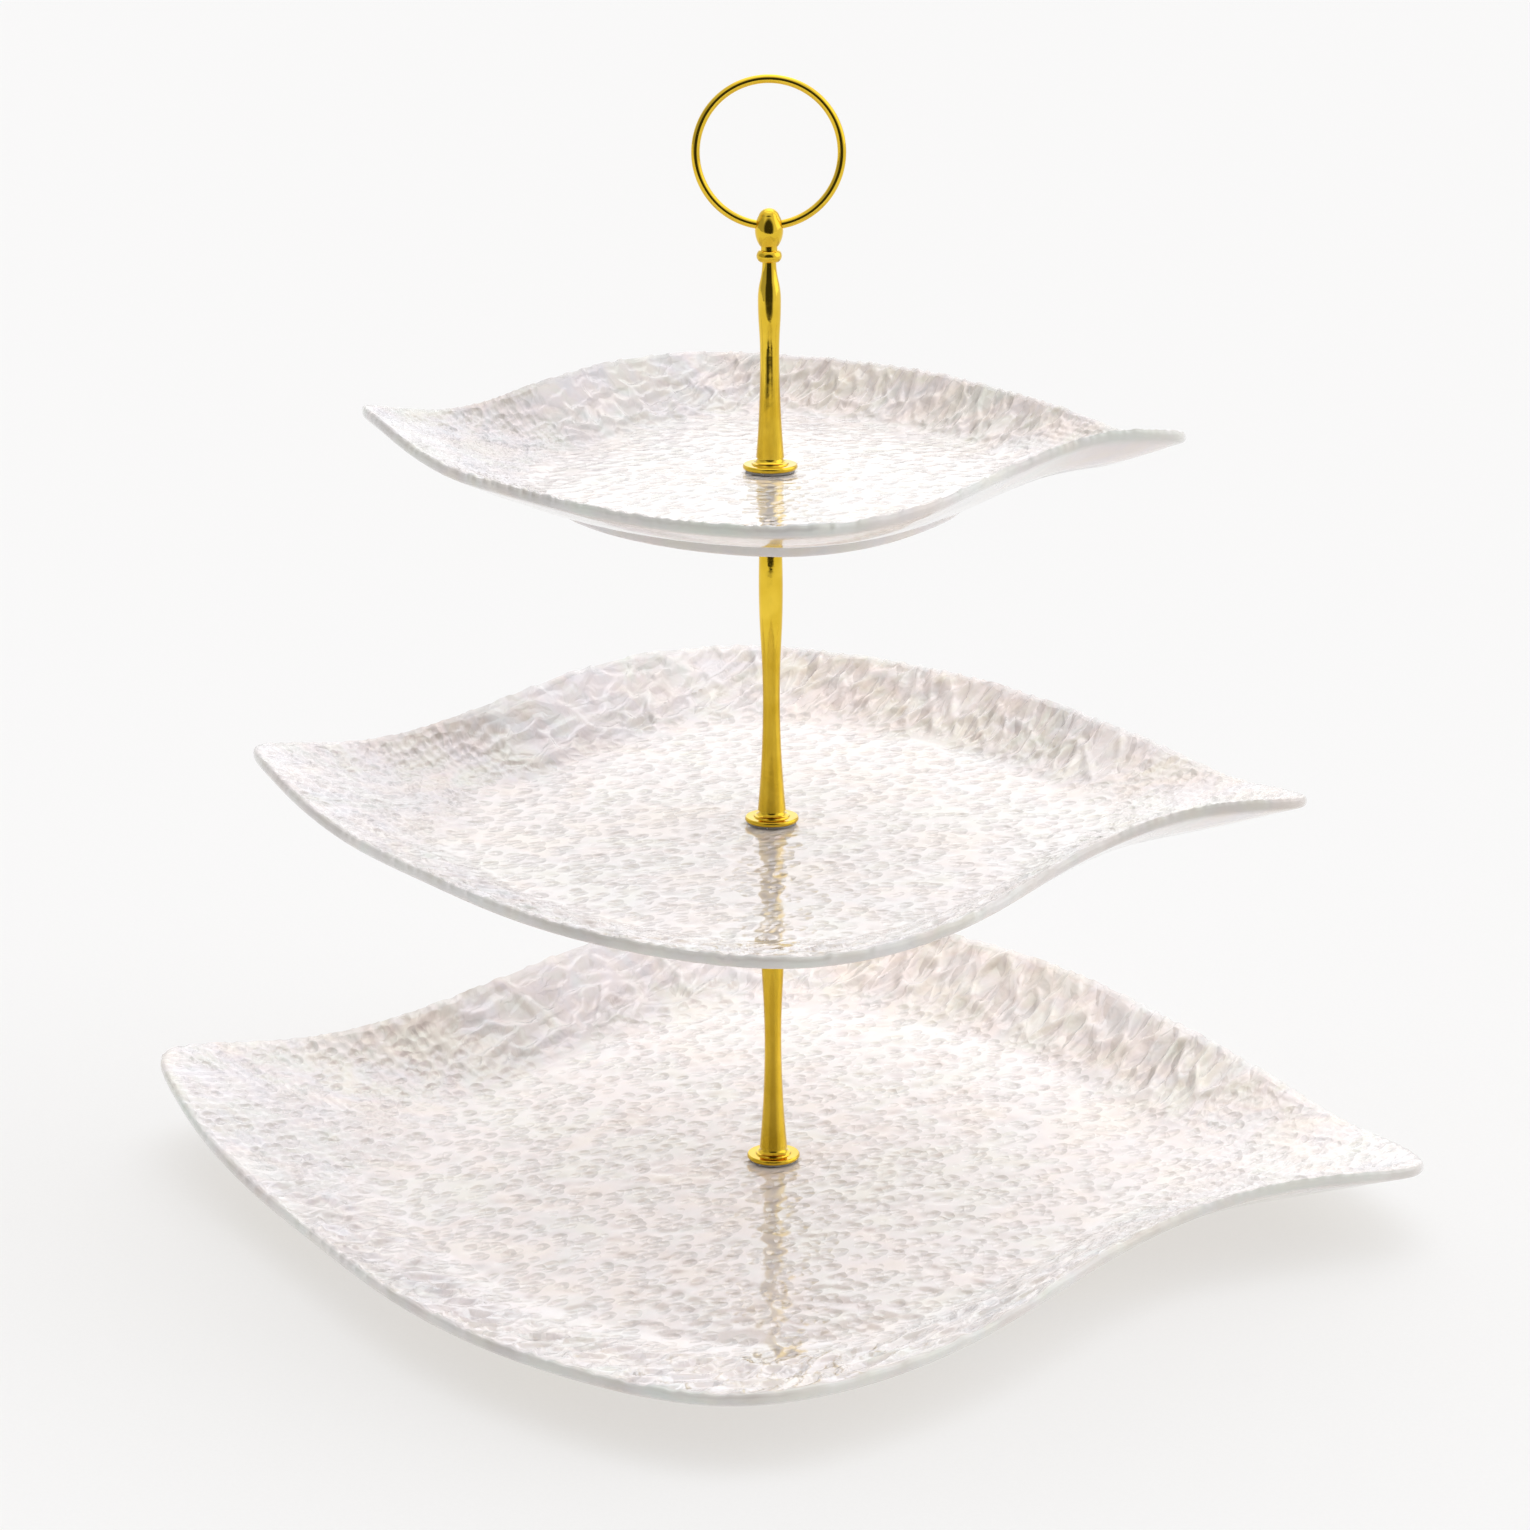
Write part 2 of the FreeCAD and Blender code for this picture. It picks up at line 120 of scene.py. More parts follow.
def raise_bump(add, join, skin, height, strength, distance):
    """Bump on a shader from a height texture."""
    node = add("ShaderNodeBump")
    node.inputs["Strength"].default_value = strength
    node.inputs["Distance"].default_value = distance
    join(height, node.inputs["Height"])
    join(node.outputs["Normal"], skin.inputs["Normal"])
    return node


def put_on(finish, *names):
    """Gives CAD nodes a finish."""
    for name in names:
        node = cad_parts[name]
        node.data.materials.clear()
        node.data.materials.append(finish)


zinc, skin, add, join = new_finish("bright_zinc")
place = add("ShaderNodeTexCoord").outputs["Object"]
cloud = noise(add, join, place, 260, detail=4)
tone = ramp(add, join, cloud.outputs["Fac"], (0.3, (0.52, 0.53, 0.55)), (0.7, (0.70, 0.70, 0.69)))
join(tone.outputs["Color"], skin.inputs["Base Color"])
skin.inputs["Metallic"].default_value = 1.0
dull = span(add, join, cloud.outputs["Fac"], 0.3, 0.7, 0.22, 0.38)
join(dull.outputs["Result"], skin.inputs["Roughness"])
lathe = noise(add, join, place, 2400, detail=2)
raise_bump(add, join, skin, lathe.outputs["Fac"], 0.25, 0.00008)
put_on(zinc, "base_screw", "base_washer", "lower_stud", "upper_stud")


# ---------------------------------------------------------------- plates
# Square porcelain plates, pressed in a hammered mould: shallow lens-shaped pits in the well, long
# folds across the rim and small even scales on the raised corners. A glossy white glaze with a
# pearl lustre covers them. Painted shade and reflection are in its colour: the slopes by the way
# they face, the underside and each tier as a whole. On the rounded edge, the green is the thin
# glaze and the brown-grey is painted shade.
PLATE_GRID = 274           # squares along one side of the plate, before it is shaped
HOLE_SQUARES = 8           # squares left out in the middle for the hole
HOLE_RADIUS = 0.00325
THICKNESS = 0.0032
FOOT_HEIGHT = 0.0044
LIP_BULGE = 0.0008         # how far the rounded edge stands out past the face's last points
CELL = 0.0062              # the spacing of the mould's marks, on the largest plate
PIT = 0.0058               # the spacing of the finer marks between them
WELL_DEPTH = 0.00050
RIM_DEPTH = 0.0014
CORNER_DEPTH = 0.00070
MARKS_RUN = math.radians(62)           # the way the marks are drawn out, from +X
CORNER_SPREAD = (17, 33)               # degrees each side of a raised corner: all of it, none of it
PLAIN_SEAT = (0.0085, 0.014)           # radii under the disc: no marks inside, all of them outside
FEEL_MARGIN = 0.0003                   # heights are felt this far clear of the edge and the hole
# rings over the rounded edge: share of the bulge, share of the thickness, how much relief shows
LIP_RINGS = ((0.60, 0.10, 0.7), (0.96, 0.32, 0.5), (1.0, 0.60, 0.35), (0.72, 0.84, 0.2),
             (0.1, 0.99, 0.1))
# rings under the rim, as shares of the plate's radius
SLOPE_RINGS = (0.975, 0.94, 0.88, 0.82)
# rings round the foot: millimetres from its outside or its inside, and the share of its height
FOOT_RINGS = (("outside", 1.4, 1.0), ("outside", 0.4, 0.87), ("outside", 0.0, 0.62),
              ("outside", 0.0, 0.22), ("outside", -0.35, 0.06), ("outside", -1.2, 0.0),
              ("inside", 1.2, 0.0), ("inside", 0.35, 0.06), ("inside", 0.0, 0.22),
              ("inside", 0.0, 0.70), ("inside", -0.5, 0.93), ("inside", -1.5, 1.0))
GLAZE_WHITE = (0.940, 0.872, 0.838)
# painted shade: the underside's colour is darker and warmer than the top
UNDERSIDE_SHADE = (0.790, 0.745, 0.695)
POOLED = (0.88, 0.868, 0.860)          # the glaze is this much darker where it lies deep
# painted shade and reflection: the slopes' colour by the way they face, in degrees round from +X
SLOPE_SHADE = {0: (0.700, 0.665, 0.680), 60: (0.850, 0.805, 0.805), 120: (0.880, 0.835, 0.810),
               180: (0.840, 0.820, 0.800), 240: (0.835, 0.670, 0.545), 300: (0.750, 0.675, 0.645)}
# each tier's colour is scaled: painted light on the shaded bottom plate, painted shade on the open
# top one
PLATES = {
    "bottom": {"corners": (-13, 87, 167, 267), "share": 1.0, "seed": 11, "painted_light_level": 1.06},
    "middle": {"corners": (-8, 92, 172, 272), "share": 0.804, "seed": 23, "painted_light_level": 1.0},
    "top": {"corners": (-6, 94, 174, 274), "share": 0.612, "seed": 37, "painted_light_level": 0.87},
}


def smooth(low, high, x):
    """0 below low, 1 above high, and a smooth rise between them."""
    t = np.clip((x - low) / (high - low), 0, 1)
    return t * t * (3 - 2 * t)


def drift(x, y, length, seed):
    """Slow random waves of about this length, from -1 to 1."""
    table = np.random.default_rng(seed).random((64, 64)) * 2 - 1
    u, v = x / length + 32, y / length + 32
    i, j = np.floor(u).astype(int), np.floor(v).astype(int)
    s, t = smooth(0, 1, u - i), smooth(0, 1, v - j)
    i, j = i % 63, j % 63
    low = table[i, j] * (1 - s) + table[i + 1, j] * s
    high = table[i, j + 1] * (1 - s) + table[i + 1, j + 1] * s
    return low * (1 - t) + high * t


def net(x, y, size, loose, seed):
    """A net of cells: how near each point is to a ridge (1 on it, 0 inside a cell), the cell's own
    height and slope, how deep the glaze lies in it (0 to 1), and a round hollow in its middle.
    loose is how far the cells leave an even grid, 0 to 1."""
    table = np.random.default_rng(seed).random((256, 256, 5))
    u, v = x / size + 128, y / size + 128
    i, j = np.floor(u).astype(int), np.floor(v).astype(int)
    nearest = np.full(x.shape, 9.0)
    second = np.full(x.shape, 9.0)
    own = np.zeros(x.shape)
    pool = np.zeros(x.shape)
    for di in (-1, 0, 1):
        for dj in (-1, 0, 1):
            a, b = (i + di) % 256, (j + dj) % 256
            mark = table[a, b]
            du = u - (i + di) - 0.5 - (mark[..., 0] - 0.5) * loose
            dv = v - (j + dj) - 0.5 - (mark[..., 1] - 0.5) * loose
            away = np.hypot(du, dv)
            floor = ((mark[..., 2] - 0.5) * 0.5 + (mark[..., 3] - 0.5) * du
                     + (mark[..., 4] - 0.5) * dv)
            closer = away < nearest
            second = np.where(closer, nearest, np.minimum(second, away))
            own = np.where(closer, floor, own)
            pool = np.where(closer, mark[..., 2], pool)
            nearest = np.where(closer, away, nearest)
    ridge = 1 - smooth(0.04, 0.40, second - nearest)
    hollow = (1 - smooth(0.10, 0.58, nearest)) * (0.2 + 0.8 * smooth(0.25, 0.60, pool))
    return ridge, own, (1 - ridge) * smooth(0.25, 0.95, 1 - pool), hollow


def trace_rim(solid, steps=1440):
    """The plate's outside radius at even angles, felt from above on the CAD solid."""
    angles = np.arange(steps) * 2 * math.pi / steps
    reach = []
    for angle in angles:
        c, s = math.cos(angle), math.sin(angle)
        inner, outer = 0.02, 0.25
        for _ in range(16):
            middle = (inner + outer) / 2
            if solid.ray_cast(Vector((middle * c, middle * s, 1)), Vector((0, 0, -1)))[0] is None:
                outer = middle
            else:
                inner = middle
        reach.append(inner)
    return angles, np.array(reach)


def feel(solid, x, y, side):
    """Heights of the CAD solid's upper (side 1) or lower (side -1) face at points."""
    return feel_face(solid, x, y, side)[:, 0]


def feel_face(solid, x, y, side):
    """Height and lean (the normal's x and y) of the CAD solid's face at points."""
    start = 1.0 * side
    felt = []
    for px, py in zip(x, y):
        hit, normal, _, _ = solid.ray_cast(Vector((px, py, start)), Vector((0, 0, -side)))
        felt.append((hit.z, normal.x, normal.y))
    return np.array(felt)


def hammer(x, y, rise, corner, share, seed):
    """The hammered relief: its height above the moulded face in metres, where it is in long folds,
    and where the glaze pools. rise is the face's height above the well, and corner is 1 along a
    raised corner."""
    x, y = x / share, y / share
    radius = np.hypot(x, y)
    rim = smooth(0.0004, 0.0030, rise / share)
    side = 1 - corner
    # the mould's marks wander, and run one way across the plate
    wx = x + 0.0030 * drift(x, y, 0.026, seed) + 0.0011 * drift(x, y, 0.0052, seed + 7)
    wy = y + 0.0030 * drift(x, y, 0.026, seed + 1) + 0.0011 * drift(x, y, 0.0052, seed + 8)
    along = wx * math.cos(MARKS_RUN) + wy * math.sin(MARKS_RUN)
    beside = wy * math.cos(MARKS_RUN) - wx * math.sin(MARKS_RUN)
    *_, hollow = net(along / 1.25, beside, CELL, 0.9, seed + 2)
    long_ridge, long_floor, long_pool, _ = net(along / 3.0, beside, CELL * 1.1, 0.92, seed + 9)
    even, scales, scale_pool, _ = net((x + y) * 0.72, (x - y) * 0.72, CELL * 0.7, 0.35, seed + 3)
    rimmed = rim * side
    flap = corner * smooth(0.0002, 0.0030, rise / share)
    well = (1 - rimmed) * (1 - flap)
    ridge = (1 - hollow) * well + long_ridge * rimmed + even * flap
    floor = long_floor * rimmed + scales * flap
    pool = hollow * well + long_pool * rimmed + 0.7 * scale_pool * flap
    worn = 0.66 + 0.34 * drift(x, y, 0.045, seed + 4)
    depth = WELL_DEPTH * worn * (1 - rim) + rim * (RIM_DEPTH * side + CORNER_DEPTH * corner)
    depth = depth * (0.8 + 0.2 * drift(x, y, 0.016, seed + 5))
    waves = 0.5 * drift(x, y, 0.011, seed + 6) * (0.35 + 0.65 * rimmed)
    relief = (ridge + 0.6 * floor * (1 - ridge) + 0.45 * waves) * depth
    seat = smooth(PLAIN_SEAT[0] / share, PLAIN_SEAT[1] / share, radius)
    return relief * seat * (0.4 + 0.6 * share), rimmed, pool * seat * (0.55 + 0.45 * worn)


def glaze_and_shade(lean_x, lean_y, pool):
    """The glaze's colour with painted shade and reflection by how the face leans, and darker glaze
    pooled in the cells.
    """
    slope = smooth(0.04, 0.34, np.hypot(lean_x, lean_y))[:, None]
    tint = np.full((len(pool), 3), 1e-6)
    shares = np.full((len(pool), 1), 1e-6)
    for facing, facing_shade in SLOPE_SHADE.items():
        toward = lean_x * math.cos(math.radians(facing)) + lean_y * math.sin(math.radians(facing))
        weight = (np.maximum(0, toward) ** 3)[:, None]
        tint += weight * np.array(facing_shade)
        shares += weight
    # painted shade and reflection: the slopes take their colour from the way they face
    colour = np.array(GLAZE_WHITE) * (1 - slope) + tint / shares * slope
    shaded = colour * np.array(POOLED)
    weight = pool[:, None]
    return colour * (1 - weight) + shaded * weight


def ring_on(piece, step):
    """Extrudes the selected open edge of a piece, and places the new ring's points by their angle."""
    bpy.ops.object.mode_set(mode="EDIT")
    bpy.ops.mesh.extrude_edges_move()
    bpy.ops.object.mode_set(mode="OBJECT")
    points = piece.data.vertices
    chosen = np.zeros(len(points), bool)
    points.foreach_get("select", chosen)
    places = np.zeros(len(points) * 3)
    points.foreach_get("co", places)
    places = places.reshape(-1, 3)
    places[chosen] = step(places[chosen])
    points.foreach_set("co", places.ravel())


def choose(piece, wanted):
    """Selects only the edges whose both ends are wanted points."""
    wanted = np.asarray(wanted, bool)
    bpy.ops.object.mode_set(mode="EDIT")
    bpy.ops.mesh.select_mode(type="VERT")
    bpy.ops.mesh.select_all(action="DESELECT")
    bpy.ops.object.mode_set(mode="OBJECT")
    piece.data.vertices.foreach_set("select", wanted)
    bpy.ops.object.mode_set(mode="EDIT")
    bpy.ops.mesh.select_mode(type="VERT")
    bpy.ops.mesh.select_mode(type="EDGE")
    bpy.ops.object.mode_set(mode="OBJECT")


def foot_radii(solid, lip_at, foot):
    """The foot ring's outside and inside radius by angle, felt from below on the CAD solid."""
    angles = np.arange(240) * 2 * math.pi / 240
    outside, inside = [], []
    for angle in angles:
        c, s = math.cos(angle), math.sin(angle)
        radii = np.arange(0.93, 0.30, -0.002) * float(lip_at(np.array([angle]))[0])
        heights = feel(solid, radii * c, radii * s, -1)
        standing = radii[heights < foot + 0.0008]
        outside.append(standing.max())
        inside.append(standing.min())

    def reader(values):
        closed = np.append(values, values[0])
        return lambda turn: np.interp(turn % (2 * math.pi), np.append(angles, 2 * math.pi), closed)
    return reader(outside), reader(inside)


def press_plate(tier, corners, share, seed, painted_light_level):
    """One plate, pressed over its CAD solid: face, lip, underside, foot ring and hole."""
    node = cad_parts[f"{tier}_plate"]
    solid = BVHTree.FromObject(node, bpy.context.evaluated_depsgraph_get())
    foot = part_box(f"{tier}_plate")[0].z
    angles, reach = trace_rim(solid)

    def lip_at(turn):
        return np.interp(turn % (2 * math.pi), np.append(angles, 2 * math.pi),
                         np.append(reach, reach[0])) - LIP_BULGE

    # each side of the square runs along the rim from one corner to the next, evenly by length
    bpy.ops.object.select_all(action="DESELECT")
    bpy.ops.mesh.primitive_grid_add(x_subdivisions=PLATE_GRID, y_subdivisions=PLATE_GRID, size=2)
    plate = bpy.context.object
    plate.name = f"{tier}_plate_glazed"
    plate.data.name = plate.name
    count = len(plate.data.vertices)
    flat = np.zeros(count * 3)
    plate.data.vertices.foreach_get("co", flat)
    u, v = flat.reshape(-1, 3)[:, 0], flat.reshape(-1, 3)[:, 1]
    out = np.maximum(np.abs(u), np.abs(v))
    # 0 to 4 round the square, a side for each whole number, from the square's (1, -1) corner
    safe = np.maximum(out, 1e-9)
    round_square = np.select(
        [(u >= out - 1e-9) & (v < out - 1e-9), (v >= out - 1e-9) & (u > -out + 1e-9),
         (u <= -out + 1e-9) & (v > -out + 1e-9)],
        [(v / safe + 1) / 2, 1 + (1 - u / safe) / 2, 2 + (1 - v / safe) / 2],
        3 + (u / safe + 1) / 2)
    stops = list(corners) + [corners[0] + 360]
    turns = np.zeros(count)
    for side in range(4):
        fine = np.radians(np.linspace(stops[side], stops[side + 1], 600))
        edge = np.stack([lip_at(fine) * np.cos(fine), lip_at(fine) * np.sin(fine)])
        length = np.append(0, np.cumsum(np.hypot(*np.diff(edge))))
        here = (round_square >= side) & (round_square <= side + 1)
        turns[here] = np.interp((round_square[here] - side) * length[-1], length, fine)
    hole = HOLE_SQUARES / PLATE_GRID
    share_out = np.clip((out - hole) / (1 - hole), 0, 1)
    radius = HOLE_RADIUS + (lip_at(turns) - HOLE_RADIUS) * share_out
    x, y = radius * np.cos(turns), radius * np.sin(turns)
    # the moulded height, felt just inside the lip and just outside the hole
    held = np.clip(radius, HOLE_RADIUS + FEEL_MARGIN, lip_at(turns) - FEEL_MARGIN)
    felt = feel_face(solid, held * np.cos(turns), held * np.sin(turns), 1)
    z = felt[:, 0]
    lean_field = felt[:, 1:].reshape(PLATE_GRID + 1, PLATE_GRID + 1, 2)
    # the lean is evened out, so that the painted shade and reflection by facing change slowly
    for _ in range(6):
        for axis in (0, 1):
            after = np.roll(lean_field, 2, axis)
            before = np.roll(lean_field, -2, axis)
            lean_field = (before + lean_field + after) / 3

    # the first and third corners are the raised ones
    off = [np.abs((turns - raised + math.pi) % (2 * math.pi) - math.pi)
           for raised in np.radians([corners[0], corners[2]])]
    full, gone = np.radians(CORNER_SPREAD)
    corner = 1 - smooth(full, gone, np.minimum(*off))
    across = radius / lip_at(turns)
    well_height = np.median(z[out < 0.3])
    relief, fold, pool = hammer(x, y, z - well_height, corner, share, seed)
    lean_x, lean_y = lean_field.reshape(-1, 2).T
    # painted light and shade: the tier's whole colour is scaled for the light that reaches it
    colour = glaze_and_shade(lean_x, lean_y, pool) * painted_light_level
    relief = (relief - 0.4 * WELL_DEPTH) * (1 - 0.45 * smooth(0.965, 1.0, across))
    plate.data.vertices.foreach_set("co", np.stack([x, y, z + relief], 1).ravel())

    # open the middle
    choose(plate, out < hole - 1e-6)
    bpy.ops.object.mode_set(mode="EDIT")
    bpy.ops.mesh.delete(type="VERT")
    bpy.ops.object.mode_set(mode="OBJECT")
    keep = out >= hole - 1e-6
    out = out[keep]

    # lip: rings over the rounded edge, then under the slope
    rim_turns = turns[keep][out > 1 - 1e-6]
    order = np.argsort(rim_turns % (2 * math.pi))
    rim_angles = (rim_turns % (2 * math.pi))[order]
    rim_rise = z[keep][out > 1 - 1e-6][order]
    rim_relief = relief[keep][out > 1 - 1e-6][order]
    wrap = 2 * math.pi
    wrapped_angles = np.concatenate([rim_angles - wrap, rim_angles, rim_angles + wrap])

    def around(values, turn):
        return np.interp(turn % wrap, wrapped_angles, np.tile(values, 3))

    choose(plate, out > 1 - 1e-6)
    for bulge, drop, print_through in LIP_RINGS:
        def lip_step(points):
            turn = np.arctan2(points[:, 1], points[:, 0])
            swing = around(rim_relief, turn) * print_through
            reach_here = lip_at(turn) + bulge * LIP_BULGE + 0.8 * swing
            height = around(rim_rise, turn) - drop * THICKNESS + swing * 0.8
            return np.stack([reach_here * np.cos(turn), reach_here * np.sin(turn), height], 1)
        ring_on(plate, lip_step)

    # underside: felt from below at shares of the way in, down to the foot ring
    foot_out, foot_in = foot_radii(solid, lip_at, foot)
    for inward in SLOPE_RINGS:
        def slope_step(points):
            turn = np.arctan2(points[:, 1], points[:, 0])
            edge = lip_at(turn) * inward
            edge = np.maximum(edge, foot_out(turn) + 0.003)
            height = feel(solid, edge * np.cos(turn), edge * np.sin(turn), -1)
            return np.stack([edge * np.cos(turn), edge * np.sin(turn), height], 1)
        ring_on(plate, slope_step)
    under = foot + FOOT_HEIGHT
    for side, from_side, height in FOOT_RINGS:
        def foot_step(points):
            turn = np.arctan2(points[:, 1], points[:, 0])
            edge = (foot_out if side == "outside" else foot_in)(turn) + from_side * 0.001
            return np.stack([edge * np.cos(turn), edge * np.sin(turn),
                             np.full(len(turn), foot + height * FOOT_HEIGHT)], 1)
        ring_on(plate, foot_step)

    # the hole's wall, then the flat underside between it and the foot ring
    last = np.zeros(len(plate.data.vertices), bool)
    plate.data.vertices.foreach_get("select", last)
    places = np.zeros(len(last) * 3)
    plate.data.vertices.foreach_get("co", places)
    places = places.reshape(-1, 3)
    choose(plate, np.hypot(places[:, 0], places[:, 1]) < HOLE_RADIUS + 1e-5)

    def bore_step(points):
        turn = np.arctan2(points[:, 1], points[:, 0])
        return np.stack([HOLE_RADIUS * np.cos(turn), HOLE_RADIUS * np.sin(turn),
                         np.full(len(turn), under)], 1)
    ring_on(plate, bore_step)
    both = np.zeros(len(plate.data.vertices), bool)
    plate.data.vertices.foreach_get("select", both)
    both[:len(last)] |= last
    choose(plate, both)
    bpy.ops.object.mode_set(mode="EDIT")
    bpy.ops.mesh.bridge_edge_loops()
    bpy.ops.mesh.select_all(action="SELECT")
    bpy.ops.mesh.normals_make_consistent(inside=False)
    bpy.ops.mesh.select_all(action="DESELECT")
    bpy.ops.object.mode_set(mode="OBJECT")

    # what the glaze reads: how far out on the plate, the folds, how strong the marks are, the colour
    # with its painted shade and reflection, and the rounded edge, painted partly in shade
    total = len(plate.data.vertices)
    strength = (1 + 0.9 * fold[keep]) * (1 - 0.9 * smooth(0.985, 1.0, out))
    for name, top_values, rest in (("across", across[keep], 1.0), ("fold", fold[keep], 0.0),
                                   ("hammered", strength, 0.0)):
        layer = plate.data.attributes.new(name, "FLOAT", "POINT")
        everywhere = np.append(top_values, np.full(total - len(top_values), rest))
        layer.data.foreach_set("value", everywhere)
    painted = np.ones((total, 4))
    # painted shade on everything below the top face
    painted[:, :3] = UNDERSIDE_SHADE
    painted[:keep.sum(), :3] = colour[keep]
    layer = plate.data.attributes.new("glaze_and_shade", "FLOAT_COLOR", "POINT")
    layer.data.foreach_set("color", painted.ravel())
    edge = np.zeros(total)
    edge[:len(out)] = 0.7 * smooth(0.985, 1.0, out)
    edge[len(out):len(out) + len(LIP_RINGS) * len(rim_turns)] = 1.0
    layer = plate.data.attributes.new("lip", "FLOAT", "POINT")
    layer.data.foreach_set("value", edge)
    bpy.ops.object.shade_smooth_by_angle(angle=math.radians(60))
    return plate


glaze, skin, add, join = new_finish("pearl_glaze")
place = add("ShaderNodeTexCoord").outputs["Object"]
# the glaze colour with its painted shade and reflection, from the plate's attribute
glaze_and_shade_colour = add("ShaderNodeAttribute", attribute_name="glaze_and_shade").outputs["Color"]
rim_share = add("ShaderNodeAttribute", attribute_name="across").outputs["Fac"]
lip_line = add("ShaderNodeAttribute", attribute_name="lip").outputs["Fac"]
# fine pits in the well, drawn out into folds up the rim
fold_share = add("ShaderNodeAttribute", attribute_name="fold").outputs["Fac"]
hammered = add("ShaderNodeAttribute", attribute_name="hammered").outputs["Fac"]
warp = noise(add, join, place, 130, detail=2)
shift = add("ShaderNodeVectorMath", operation="SCALE")
join(warp.outputs["Color"], shift.inputs[0])
shift.inputs["Scale"].default_value = 0.0030
warped = add("ShaderNodeVectorMath", operation="ADD")
join(place, warped.inputs[0])
join(shift.outputs["Vector"], warped.inputs[1])
cells = []
for feature, stretch in (("F1", (1.05, 1.45, 0.8)), ("DISTANCE_TO_EDGE", (0.22, 0.85, 0.25))):
    turned = add("ShaderNodeMapping", vector_type="TEXTURE")
    join(warped.outputs["Vector"], turned.inputs["Vector"])
    turned.inputs["Rotation"].default_value = (0, 0, MARKS_RUN)
    turned.inputs["Scale"].default_value = tuple(1 / amount for amount in stretch)
    cell = add("ShaderNodeTexVoronoi", feature=feature)
    join(turned.outputs["Vector"], cell.inputs["Vector"])
    cell.inputs["Scale"].default_value = 1 / PIT
    cells.append(cell.outputs["Distance"])
# 0 on the flat between marks, 0.4 deep in one
inside_pit = span(add, join, cells[0], 0.12, 0.60, 0.40, 0.0)
into_mark = add("ShaderNodeMix", data_type="FLOAT")
join(fold_share, into_mark.inputs["Factor"])
join(inside_pit.outputs["Result"], into_mark.inputs[2])
join(cells[1], into_mark.inputs[3])
pit = span(add, join, into_mark.outputs[0], 0.09, 0.36, 0.0, 1.0)
pit_choice = noise(add, join, place, 120, detail=1)
pit_grey = span(add, join, pit_choice.outputs["Fac"], 0.38, 0.62, 0.05, 0.75)
pit_tone = add("ShaderNodeMath", operation="MULTIPLY")
join(pit.outputs["Result"], pit_tone.inputs[0])
join(pit_grey.outputs["Result"], pit_tone.inputs[1])
pit_shade = add("ShaderNodeMath", operation="MULTIPLY", use_clamp=True)
join(pit_tone.outputs["Value"], pit_shade.inputs[0])
join(hammered, pit_shade.inputs[1])
pitted = add("ShaderNodeMix", data_type="RGBA", blend_type="MULTIPLY")
join(pit_shade.outputs["Value"], pitted.inputs["Factor"])
join(glaze_and_shade_colour, pitted.inputs[6])
pitted.inputs[7].default_value = (0.90, 0.885, 0.87, 1)

clouds = noise(add, join, place, 58, detail=3, distortion=0.7)
lustre = ramp(add, join, clouds.outputs["Fac"],
              (0.32, (0.80, 0.87, 0.95)), (0.43, (0.90, 0.85, 0.92)), (0.50, (0.95, 0.86, 0.86)),
              (0.57, (0.95, 0.88, 0.80)), (0.68, (0.84, 0.92, 0.86)), smooth=True)
pearly = add("ShaderNodeMix", data_type="RGBA")
rim_tint = span(add, join, rim_share, 0.35, 1.0, 0.04, 0.34)
join(rim_tint.outputs["Result"], pearly.inputs["Factor"])
join(pitted.outputs[2], pearly.inputs[6])
join(lustre.outputs["Color"], pearly.inputs[7])
# the rounded edge: green where the glaze is thin, with painted shade in brown-grey
edged = add("ShaderNodeMix", data_type="RGBA")
edge_colour = noise(add, join, place, 26, detail=3)
edge_tone = ramp(add, join, edge_colour.outputs["Fac"], (0.33, (0.66, 0.75, 0.66)),
                 (0.47, (0.82, 0.79, 0.76)), (0.60, (0.56, 0.51, 0.46)), smooth=True)
edge_share = span(add, join, lip_line, 0.0, 1.0, 0.0, 0.6)
join(edge_share.outputs["Result"], edged.inputs["Factor"])
join(pearly.outputs[2], edged.inputs[6])
join(edge_tone.outputs["Color"], edged.inputs[7])
join(edged.outputs[2], skin.inputs["Base Color"])
skin.inputs["IOR"].default_value = 1.55
skin.inputs["Coat Weight"].default_value = 0.8
skin.inputs["Coat Roughness"].default_value = 0.05
skin.inputs["Thin Film IOR"].default_value = 1.50
film = noise(add, join, place, 48, detail=2, distortion=0.8)
film_depth = span(add, join, film.outputs["Fac"], 0.3, 0.7, 270.0, 450.0)
join(film_depth.outputs["Result"], skin.inputs["Thin Film Thickness"])
sheen_break = noise(add, join, place, 130, detail=3)
gloss = span(add, join, sheen_break.outputs["Fac"], 0.3, 0.7, 0.07, 0.18)
join(gloss.outputs["Result"], skin.inputs["Roughness"])
pit_floor = span(add, join, into_mark.outputs[0], 0.05, 0.38, 1.0, 0.0)
pressed_in = add("ShaderNodeMath", operation="MULTIPLY")
join(pit_floor.outputs["Result"], pressed_in.inputs[0])
join(hammered, pressed_in.inputs[1])
raise_bump(add, join, skin, pressed_in.outputs["Value"], 0.80, 0.0010)

for tier, plan in PLATES.items():
    pressed = press_plate(tier, **plan)
    pressed.data.materials.clear()
    pressed.data.materials.append(glaze)
    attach(pressed, "base" if tier == "bottom" else f"{tier}_tier")
    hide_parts(f"{tier}_plate")


